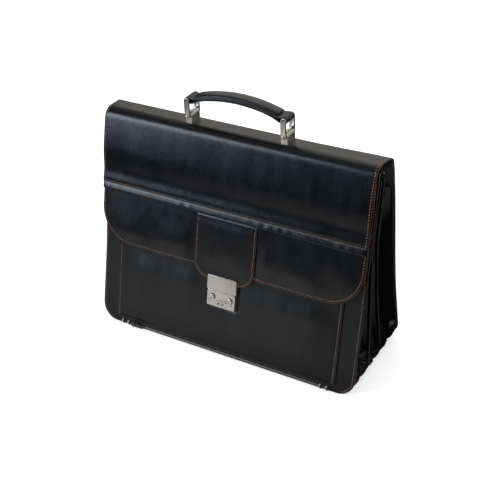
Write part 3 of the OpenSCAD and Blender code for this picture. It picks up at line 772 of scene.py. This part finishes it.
# Side rows of the upper flap follow the spine over the bend, and go on behind over the ridge
for s, label in ((-1, "left"), (1, "right")):
    for spine, part, bulge, finish in ((upper_spine()[1:], "upper", upper_bulge, over_front_bend),
                                       (rear_spine()[:-1], "rear", lambda x, u: 0.0, over_rear_bend)):
        x = s * (FLAP_HALF - SEW_INSET)
        path = [place(x, bulge(x, u) - 0.15) for u, place in spine]
        normals = [(place(x, 1) - place(x, 0)).normalized() for u, place in spine]
        finish(stitches(f"flap_{part}_thread_{label}", path, normals, [M_THREAD]), "stitching_thread")
for rise, label in ((SEW_INSET, "low"), (19.0, "high")):
    row(f"rear_overlap_thread_{label}", straight(-195, OVERLAP_LOW + rise, 195, OVERLAP_LOW + rise, 100), slack_back,
        lambda x, v: REAR_FACE, NORMAL_B, "case")

# ---- fold band: the upper leather is turned under along the joint ----

BAND_BACK = 6.35


def band_ring(x):
    """The band's section at x: the outer points swell with the ripples, and the lowest ones sag."""
    ripple = 0.35 * wave(x / 9, 0.3, 1.2) + 0.5 * wave(x / 27, 0.9, 6.3)
    pinch = 0.6 * sum(exp(-((x - c) / d) ** 2) * sin((x - c) / 2.6) for c, d in
                      ((-178, 16), (-62, 14), (58, 18), (84, 12), (172, 14)))
    h = (1.0 + 0.10 * ripple + 0.10 * pinch) * (1 - 0.3 * exp(-((FLAP_HALF - abs(x)) / 5) ** 2))
    sag = 0.5 * ripple + 0.35 * pinch
    pts = [(204.2, 6.35), (213.9, 6.4), (215.4, 8.35), (213.8, 8.3), (212.9, 8.0), (212.2, 7.6), (211.5, 7.85),
           (210.7, 8.2), (209.2, 8.5), (207.5, 8.8), (205.8, 9.1), (204.4, 9.25), (203.3, 9.05), (202.6, 8.45),
           (202.4, 7.5), (203.0, 6.5)]
    return [front(x, v + (sag * fade(211.5, 206, v) if i > 8 else 0),
                  BAND_BACK + (w - BAND_BACK) * (h if i > 5 else 1)) for i, (v, w) in enumerate(pts)]


band_xs = [(FLAP_HALF - 0.5) * (i / 130 - 1) for i in range(261)]
riding(loft("fold_band_leather", [band_ring(x) for x in band_xs], (M_FLAP, M_EDGE)), "flap_front",
       ["fold_band"])
row("fold_band_thread", straight(-196.5, 212.1, 196.5, 212.1, 120), front, lambda x, v: 7.75, NORMAL_F,
    "flap_front", 3.5)

# ---- lock tab ----

TAB_HALF, TAB_LOW, TAB_R, TAB_FACE = 46, 112, 24, 8.55


def tab_bulge(x, v):
    under = -1.0 * fade(186, 203, v)
    crown = 0.55 * fade(0, 26, TAB_HALF - abs(x)) * fade(124, 150, v) * (1 - fade(180, 200, v))
    return under + crown * (1 + 0.8 * wave(x / 22, v / 40, 5.1))


tab_profile = [(9, 6.35), (5, 6.35), (1.2, 6.35), (0.35, 6.75), (0.05, 7.15), (0, 7.6), (0.2, 8.1), (0.7, 8.45),
               (1.4, TAB_FACE), (2.1, TAB_FACE), (2.8, TAB_FACE - 0.25), (3.5, TAB_FACE), (5, TAB_FACE),
               (7, TAB_FACE), (9, TAB_FACE)]
riding(panel("lock_tab_leather", TAB_HALF, TAB_LOW, 203.3, TAB_R, front, tab_profile, SHEET, tab_bulge, 20, 4.0),
       "flap_front", ["lock_tab"])
row("lock_tab_thread", u_path(TAB_HALF, TAB_LOW, 202, TAB_R, 2.8), front,
    lambda x, v: TAB_FACE - 0.15 + tab_bulge(x, v), NORMAL_F, "flap_front", 3.5)

# ---- lock ----

# Turns x, up the slope, outward into the row frame
FM = Matrix(((1, 0, 0), (0, SN, -CS), (0, CS, SN))).to_4x4()
FM.translation = front(0, 0, 0)
LOCK_HALF, LOCK_LOW, LOCK_STEP, LOCK_HIGH, LOCK_R = 21.5, 76.3, 99.3, 118.5, 1.5
BUTTON_X, BUTTON_V = 13.6, 89.5
lock_outline = rounded(LOCK_HALF, LOCK_LOW, LOCK_HIGH, LOCK_R)
staple_slot = rounded(5.7, 103.7, 114.0, 0.6, 3)
face_holes = [circle(-BUTTON_X, BUTTON_V, 4.75), circle(BUTTON_X, BUTTON_V, 4.75), circle(-3.4, 81.4, 1.4, 20),
              circle(3.4, 81.4, 1.4, 20)]
lock_parts = [
    plate("lock_floor", [lock_outline], 0.5, 1.3, 0.1, FM, [M_NICKEL]),
    plate("lock_deck", [lock_outline, staple_slot], 1.3, 6.1, 0.3, FM, [M_NICKEL]),
    plate("lock_face", [rounded(LOCK_HALF, LOCK_LOW, LOCK_STEP, LOCK_R)] + face_holes, 6.1, 10.0, 0.35, FM, [M_NICKEL])]
riding(joined("lock_body", lock_parts), "case", ["lock_housing"])
button_shape = [(0.01, 7.4), (3.9, 7.4), (4.2, 7.6), (4.2, 10.9), (4.1, 11.25), (3.8, 11.5), (3.3, 11.6), (2.6, 11.55),
                (1.6, 11.4), (0.01, 11.35)]
for s, label in ((-1, "left"), (1, "right")):
    at_button = FM @ Matrix.Translation(mm(s * BUTTON_X, BUTTON_V, 0))
    riding(lathe(f"lock_button_{label}_cap", button_shape, at_button, [M_NICKEL]), f"lock_button_{label}",
           [f"lock_button_{label}"])
riding(plate("hasp_face", [rounded(22.4, 99.8, 120.5, 1.5)], 8.65, 10.15, 0.4, FM, [M_NICKEL]), "flap_front",
       ["hasp_plate"])

# ---- zip ----

ZIP_HALF, ZIP_V = 167, 5.0
tape_rings = []
for i in range(121):
    x = ZIP_HALF * (i / 60 - 1)
    r = 0.12 * wave(x / 8, 0.2, 3.7)
    section = ((1.3, 0.2), (1.3, 0.62 + r), (3.1, 0.8 + r), (ZIP_V, 0.75), (6.9, 0.8 - r), (9.0, 0.62 - r), (9.0, 0.2))
    tape_rings.append([front(x, v, w) for v, w in section])
riding(loft("zip_tape_cloth", tape_rings, [M_TAPE]), "case", ["zip_tape"])


def zip_teeth():
    """Two rows of teeth that mesh, each a block with a narrower crest."""
    verts, faces, pitch, x, side = [], [], 1.95, -149.6, 1
    while x < 149.8:
        c, w = ZIP_V + side * 0.8, 1.55
        base = len(verts)
        for k, (v0, v1, h) in enumerate(((-0.95, 0.95, 0.9), (-0.95, 0.95, 1.45), (-0.7, 0.7, 1.7 + 0.3 * side))):
            g = w / 2 if k < 2 else w / 2 - 0.18
            verts += [front(x + dx, c + dv, h) for dx, dv in ((-g, v0), (g, v0), (g, v1), (-g, v1))]
        faces += tube(base, 4, 3)
        x += pitch
        side = -side
    return make("zip_teeth", verts, faces, [M_ZIP], None, False)


riding(zip_teeth(), "case", ["zip_chain"])

# ---- strap tabs ----

TAB_UP, TAB_DEPTH = 296.6, -5.8
loop_path = [(306.4, -3.85), (303.5, -3.85), (300.8, -3.88), (298.8, -3.92)]
loop_path += arc(TAB_UP, TAB_DEPTH, 1.95, 75, 285, 10)
loop_path += [(298.9, -7.3), (300.6, -6.2), (302.4, -5.3), (304.4, -5.15), (306.4, -5.15)]
for s, label in ((-1, "left"), (1, "right")):
    riding(sweep(f"strap_tab_{label}_leather", loop_path, 9.6, 1.1, back, (M_STRAP, M_EDGE), s * 187.0, 0.25), "case",
           [f"strap_tab_{label}"])

# ---- handle ----


def arch(x):
    """Height of the handle's arch at x."""
    return ARCH_Z + sqrt(ARCH_R * ARCH_R - x * x)


def up_right(x, a, b):
    """Strap place: a along X, b up Z, x across in depth."""
    return mm(a, BASE_Y + x, b)


half_path = [(x, arch(x) - drop) for x, drop in ((30, 2.1), (44, 2.3), (54, 2.9), (60, 4.1))] + [(64, BAR_Z - 3.1)]
half_path += arc(SHACKLE_X, BAR_Z, 3.75, -110, 92, 16) + [(66.5, 346.05)]
half_path += [(x, arch(x) + rise) for x, rise in ((62, 0.75), (56, 0.3), (46, 0.15), (30, 0), (10, 0))]
path = half_path + [(-a, b) for a, b in reversed(half_path)]
riding(sweep("handle_strap_leather", path, 20.3, 1.9, up_right, (M_STRAP, M_DARK_EDGE), edge=0.5, segments=8),
       "handle", ["handle_strap"])

GRIP_HALF = 60.0


def grip_section(shrink):
    """Right half of the grip's section from the top middle round to the bottom middle, as depth and height."""
    pts = [(0, 4.9), (3.0, 4.86), (5.6, 4.7), (7.4, 4.35), (8.5, 3.6), (9.2, 2.4), (9.6, 0.8), (9.7, -0.9), (9.6, -2.4),
           (9.1, -3.9), (8.0, -4.9), (6.0, -5.3), (3.2, -5.4), (0, -5.4)]
    return [(max(0.0, y - shrink * (y > 1)), h - shrink * (1 if h > 0 else -1)) for y, h in pts]


def on_arch(a, y, h):
    """a is the angle along the arch in radians."""
    r = ARCH_R + h
    return mm(r * sin(a), BASE_Y + y, ARCH_Z + r * cos(a))


def grip_core():
    a_end = asin(GRIP_HALF / ARCH_R)
    rings = []
    for i in range(61):
        t = 2 * i / 60 - 1
        end = max(0.0, abs(t) - 0.985) / 0.015
        sec = grip_section(0.35 + 0.9 * end ** 2)
        ring = sec + [(-y, h) for y, h in reversed(sec[1:-1])]
        rings.append([on_arch(a_end * t, y, h) for y, h in ring])
    return loft("handle_grip_padding", rings, [M_GRIP])


def inflate(ob, voxel, pressure, cap, pinned):
    """Cloth pressure swells ob from its shape by at most cap millimetres; points where pinned(co) hold."""
    view = bpy.context.view_layer
    for o in list(bpy.context.selected_objects):
        o.select_set(False)
    view.objects.active = ob
    ob.select_set(True)
    mod = ob.modifiers.new("remesh", "REMESH")
    mod.mode, mod.voxel_size = "VOXEL", voxel * MM
    bpy.ops.object.modifier_apply(modifier=mod.name)
    rest = [v.co.copy() for v in ob.data.vertices]
    group = ob.vertex_groups.new(name="pin")
    group.add([i for i, c in enumerate(rest) if pinned(c)], 1.0, "REPLACE")
    mod = ob.modifiers.new("cloth", "CLOTH")
    st = mod.settings
    st.quality, st.mass = 6, 0.02
    st.use_pressure, st.uniform_pressure_force = True, pressure
    st.tension_stiffness = st.compression_stiffness = 8
    st.bending_stiffness = 0.02
    st.vertex_group_mass = "pin"
    st.effector_weights.gravity = 0
    mod.collision_settings.use_collision = False
    for f in range(1, 21):
        scene.frame_set(f)
    ev = ob.evaluated_get(bpy.context.evaluated_depsgraph_get())
    moved = [v.co.copy() for v in ev.data.vertices]
    scene.frame_set(1)
    ob.modifiers.remove(mod)
    for v, a, b in zip(ob.data.vertices, rest, moved):
        d = b - a
        v.co = a + (d if d.length < cap * MM else d * (cap * MM / d.length))
    ob.vertex_groups.clear()
    for kind, set_up in (("SMOOTH", (("factor", 0.5), ("iterations", 4))), ("SUBSURF", (("levels", 1),))):
        mod = ob.modifiers.new(kind, kind)
        for k, val in set_up:
            setattr(mod, k, val)
        bpy.ops.object.modifier_apply(modifier=mod.name)
    ob.data.polygons.foreach_set("use_smooth", [True] * len(ob.data.polygons))


grip = grip_core()


def grip_pinned(co):
    p = co / MM
    r = hypot(p.x, p.z - ARCH_Z) - ARCH_R
    return abs(p.x) > GRIP_HALF - 2.2 or (abs(p.y - BASE_Y) > 8.2 and 0.4 < r < 3.0) or r < -4.6


inflate(grip, 1.3, 4.0, 1.1, grip_pinned)
riding(grip, "handle", ["handle_grip"])

A_END = asin((GRIP_HALF - 0.6) / ARCH_R)


def welt(name, y, h, r):
    """A cord along the grip, with narrower ends."""
    rings = []
    for i in range(61):
        a = A_END * (2 * i / 60 - 1)
        k = 0.6 if i in (0, 60) else 1.0
        rings.append([on_arch(a, y + k * r * cos(2 * pi * j / 10), h + k * r * sin(2 * pi * j / 10))
                      for j in range(10)])
    return loft(name, rings, [M_GRIP])


for s, label in ((-1, "front"), (1, "rear")):
    riding(welt(f"grip_welt_{label}", s * 9.35, 1.9, 0.85), "handle")
    riding(welt(f"grip_lower_welt_{label}", s * 9.35, -3.0, 0.6), "handle")
    turns = [A_END * (2 * i / 60 - 1) for i in range(61)]
    pts = [on_arch(a * 0.97, s * 7.6, 3.75) for a in turns]
    nrm = [(on_arch(a, s * 7.9, 4.6) - on_arch(a, s * 7.6, 3.6)).normalized() for a in turns]
    riding(stitches(f"grip_thread_{label}", pts, nrm, [M_GRIP], 3.0, 0.28), "handle")

# Turns an x, z outline into the row frame, with its thickness in depth
SIDE = Matrix(((1, 0, 0), (0, 0, 1), (0, 1, 0))).to_4x4()
AXLE = Matrix.Rotation(pi / 2, 4, "X")
ARM_T = 2.4


def stadium(cx, z1, z2, r):
    return arc(cx, z1, r, 180, 360, 14) + arc(cx, z2, r, 0, 180, 14)


for s, label in ((-1, "left"), (1, "right")):
    cx = s * SHACKLE_X
    arms = []
    for e in (-1, 1):
        lo = BASE_Y + e * (13 - ARM_T / 2) - ARM_T / 2
        arms.append(plate("arm", [stadium(cx, PIN_Z, BAR_Z, 3.8), circle(cx, PIN_Z, 1.7, 24)], lo, lo + ARM_T, 0.55,
                          SIDE, [M_ARM]))
    bar = Matrix.Translation(mm(cx, BASE_Y, BAR_Z)) @ AXLE
    arms.append(lathe("bar", [(0.01, -11.5), (2.2, -11.5), (2.2, 11.5), (0.01, 11.5)], bar, [M_ARM], 28))
    riding(joined(f"shackle_{label}_metal", arms), f"shackle_{label}", [f"shackle_{label}"])
    block = [(cx - 5, 309.6), (cx + 5, 309.6)] + arc(cx, PIN_Z, 5, 0, 180, 24)
    riding(plate(f"handle_base_{label}_metal", [block], BASE_Y - 10.1, BASE_Y + 10.1, 0.7, SIDE, [M_NICKEL]),
           "flap_top", [f"handle_base_{label}"])
pins = []
half_pin = [(0.01, 14.8), (0.9, 14.75), (1.7, 14.5), (2.3, 14.0), (2.5, 13.5), (2.5, 13.2), (1.55, 13.15)]
for cx in (-SHACKLE_X, SHACKLE_X):
    at_pin = Matrix.Translation(mm(cx, BASE_Y, PIN_Z)) @ AXLE
    pins.append(lathe("pin", half_pin + [(r, -h) for r, h in reversed(half_pin)], at_pin, [M_BRIGHT], 28))
riding(joined("shackle_pins_metal", pins), "flap_top", ["shackle_pins"])

# ---- CAD nodes that keep their shape ----

KEPT = {M_BRIGHT: ("zip_end_stops", "d_ring_left", "d_ring_right", "strap_tab_rivets"),
        M_DARK_METAL: ("zip_slider", "zip_pull"),
        M_NICKEL: ("hasp_rivets",),
        M_STEEL: ("lock_backing_plate", "lock_rivets", "lock_springs", "lock_catch_left", "lock_catch_right",
                  "handle_backing_plates", "handle_base_screws", "hasp_staple"),
        M_BOARD: ("top_stiffener",)}
for material, names in KEPT.items():
    for name in names:
        for kept_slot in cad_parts[name].material_slots:
            kept_slot.material = material

# ---- floor, light, camera ----


def floor_paper():
    """White paper. Glossy rays see it as a soft light patch in front of the bag that fades into a dark studio."""
    m, nt, bsdf = nodes_of("floor_paper")
    feed(nt, bsdf, {"Base Color": (0.93, 0.93, 0.93, 1), "Roughness": 1.0, "Specular IOR Level": 0.0})
    at = node(nt, "Mapping", {"Vector": node(nt, "TexCoord").outputs["Object"], "Location": (0.07, 0.37, 0),
                              "Scale": (0.72, 1, 1)})
    reach = node(nt, "VectorMath", {0: at.outputs["Vector"]}, operation="LENGTH").outputs["Value"]
    patch = node(nt, "Emission", {"Color": ramp(nt, reach, (0.76, 0.74, 0.72), (0.01, 0.01, 0.012), 0.10, 0.45)})
    glow = node(nt, "Emission", {"Strength": 0.55})
    lit = node(nt, "AddShader", {0: bsdf.outputs[0], 1: glow.outputs[0]})
    rays = node(nt, "LightPath").outputs
    plain = node(nt, "MixShader", {0: rays["Is Camera Ray"], 1: bsdf.outputs[0], 2: lit.outputs[0]})
    paper = node(nt, "MixShader", {0: rays["Is Glossy Ray"], 1: plain.outputs[0], 2: patch.outputs[0]})
    feed(nt, nt.nodes["Material Output"], {"Surface": paper.outputs[0]})
    return m


def floor_disc(radius=1.0, rings=24, around=96):
    z = -0.0004
    verts, faces = [Vector((0, 0, z))], [(0, 1 + j, 1 + (j + 1) % around) for j in range(around)]
    for i in range(1, rings + 1):
        r, turns = radius * i / rings, [2 * pi * j / around for j in range(around)]
        verts += [Vector((r * cos(a), r * sin(a), z)) for a in turns]
    for i in range(rings - 1):
        a, b = 1 + i * around, 1 + (i + 1) * around
        for j in range(around):
            k = (j + 1) % around
            faces.append((a + j, b + j, b + k, a + k))
    make("floor", verts, faces, [floor_paper()])


floor_disc()


for name, place, target, size, power, colour in (
        ("rear_softbox", (-0.55, 2.5, 1.55), (0, 0, 0.3), (3.2, 1.8), 14.0, (1.0, 0.95, 0.87)),
        ("left_card", (-2.36, -2.72, 1.60), (0, 0, 0.25), (1.4, 2.4), 74.0, (0.72, 0.85, 1.0)),
        ("upper_card", (-0.75, 1.05, 2.3), (0, 0, 0.3), (1.6, 1.0), 3.4, (1.0, 0.96, 0.9)),
        ("right_fill", (2.9, 0.9, 1.5), (0, 0, 0.15), (0.8, 1.2), 7.0, (1.0, 0.98, 0.95))):
    li = bpy.data.lights.new(name, "AREA")
    li.shape, li.size, li.size_y = "RECTANGLE", size[0], size[1]
    li.energy, li.color = power, colour
    ob = linked(name, li)
    ob.location = place
    ob.rotation_euler = (Vector(target) - Vector(place)).to_track_quat("-Z", "Y").to_euler()
    ob.visible_camera = False


def studio_world():
    """White to the camera and to matt surfaces; a dim studio with soft gradients to glossy ones."""
    world = bpy.data.worlds.new("studio")
    scene.world = world
    world.use_nodes = True
    world.cycles.sampling_method = "NONE"
    nt = world.node_tree
    nt.nodes.clear()
    towards = node(nt, "TexCoord").outputs["Generated"]
    height = value_range(nt, node(nt, "SeparateXYZ", {0: towards}).outputs["Z"], 0, 1, -1, 1)
    bands = [(pos, (val, val, val * 1.08)) for pos, val in ((0.40, 0.02), (0.50, 0.02), (0.58, 0.03), (0.80, 0.07))]
    total = ramp(nt, height, (0.03, 0.03, 0.03), (0.30, 0.30, 0.31), 0.0, 1.0, bands)
    for centre, strength in (((0.90, -0.15, 0.30), 0.25), ((0.35, 0.85, 0.25), 0.4)):
        dot = node(nt, "VectorMath", {0: towards, 1: Vector(centre).normalized()}, operation="DOT_PRODUCT")
        clip = node(nt, "Math", {0: dot.outputs["Value"], 1: 0.0}, operation="MAXIMUM")
        power = node(nt, "Math", {0: clip.outputs[0], 1: 3.0}, operation="POWER")
        lobe = node(nt, "Math", {0: power.outputs[0], 1: strength}, operation="MULTIPLY")
        total = node(nt, "MixRGB", {0: 1.0, 1: total, 2: lobe.outputs[0]}, blend_type="ADD").outputs[0]

    def backdrop(colour, strength):
        return node(nt, "Background", {"Color": colour, "Strength": strength}).outputs[0]

    rays = node(nt, "LightPath").outputs
    paper_white = (1.0, 1.0, 1.0, 1)
    matt = node(nt, "MixShader", {0: rays["Is Glossy Ray"], 1: backdrop(paper_white, 0.6), 2: backdrop(total, 1.0)})
    seen = node(nt, "MixShader", {0: rays["Is Camera Ray"], 1: matt.outputs[0], 2: backdrop(paper_white, 1.05)})
    node(nt, "OutputWorld", {"Surface": seen.outputs[0]})


studio_world()
scene.view_settings.view_transform = "Standard"


def camera():
    """Looks at target from distance, with the focal length in render widths of 500."""
    target, distance, focal = mm(8.68, 0, 131.89), 1409.68 * MM, 1034.11
    az, el, roll = radians(30.89), radians(32.65), radians(-2.26)
    back_dir = Vector((sin(az) * cos(el), -cos(az) * cos(el), sin(el)))
    right = Vector((0, 0, 1)).cross(back_dir).normalized()
    up = back_dir.cross(right)
    right2 = right * cos(roll) + up * sin(roll)
    up2 = up * cos(roll) - right * sin(roll)
    cam = linked("camera", bpy.data.cameras.new("camera"))
    cam.data.sensor_width = 36
    cam.data.lens = focal / 500 * cam.data.sensor_width
    cam.data.clip_start, cam.data.clip_end = 0.05, 50
    m = Matrix((right2, up2, back_dir)).transposed().to_4x4()
    m.translation = target + back_dir * distance
    cam.matrix_world = m
    scene.camera = cam


camera()
